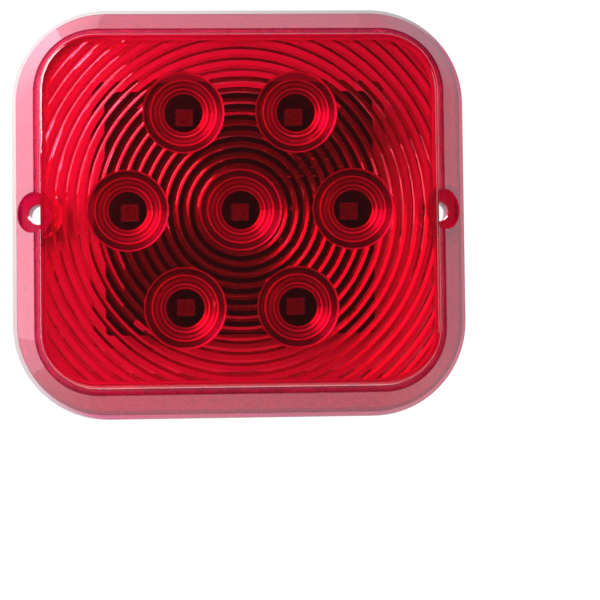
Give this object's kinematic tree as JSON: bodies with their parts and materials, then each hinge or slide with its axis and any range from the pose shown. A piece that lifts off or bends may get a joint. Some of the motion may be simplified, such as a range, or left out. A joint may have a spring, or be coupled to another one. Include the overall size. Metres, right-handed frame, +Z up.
{
  "type": "trailer tail light",
  "caption": "Rounded-rectangle sealed LED stop and tail light with a raised red fluted lens, a pocketed screw hole at each side and short wires out of the back.",
  "frame": {"origin": "centre of the flat back face, midway between the two screw holes", "axes": "+X to the right as seen from the front, through both screw holes; +Y out of the back, the way the wires leave, so the lens faces -Y; +Z up"},
  "size_m": [0.134, 0.0402, 0.121],
  "materials": {
    "housing_plastic": "moulded ABS, fine satin",
    "lens_plastic": "clear red moulded acrylic, polished outside, fluted inside",
    "seal_rubber": "soft sealing bead",
    "board_laminate": "glass-fibre laminate with a black mask, satin",
    "led_body_plastic": "grey moulded package",
    "led_window_resin": "cast amber resin over the chip",
    "tinned_metal": "tinned, bright",
    "chip_black": "moulded epoxy",
    "wire_seal_rubber": "cast potting compound",
    "insulation_black": "PVC insulation, semi-gloss",
    "insulation_white": "PVC insulation, semi-gloss",
    "insulation_red": "PVC insulation, semi-gloss",
    "tie_nylon": "natural nylon"
  },
  "bodies": {
    "root": {"base_housing": "housing_plastic", "boss_seals": "seal_rubber", "cable_tie": "tie_nylon", "circuit_board": "board_laminate", "diode_bodies": "chip_black", "diode_contacts": "tinned_metal", "inner_lead_black": "insulation_black", "inner_lead_red": "insulation_red", "inner_lead_white": "insulation_white", "led_body_bottom_left": "led_body_plastic", "led_body_bottom_right": "led_body_plastic", "led_body_centre": "led_body_plastic", "led_body_left": "led_body_plastic", "led_body_right": "led_body_plastic", "led_body_top_left": "led_body_plastic", "led_body_top_right": "led_body_plastic", "led_contacts": "tinned_metal", "led_window_bottom_left": "led_window_resin", "led_window_bottom_right": "led_window_resin", "led_window_centre": "led_window_resin", "led_window_left": "led_window_resin", "led_window_right": "led_window_resin", "led_window_top_left": "led_window_resin", "led_window_top_right": "led_window_resin", "lens": "lens_plastic", "lens_seal": "seal_rubber", "resistor_bodies": "chip_black", "resistor_caps": "tinned_metal", "solder_joints": "tinned_metal", "wire_black": "insulation_black", "wire_red": "insulation_red", "wire_seal": "wire_seal_rubber", "wire_tip_black": "tinned_metal", "wire_tip_red": "tinned_metal", "wire_tip_white": "tinned_metal", "wire_white": "insulation_white"}
  },
  "joints": []
}
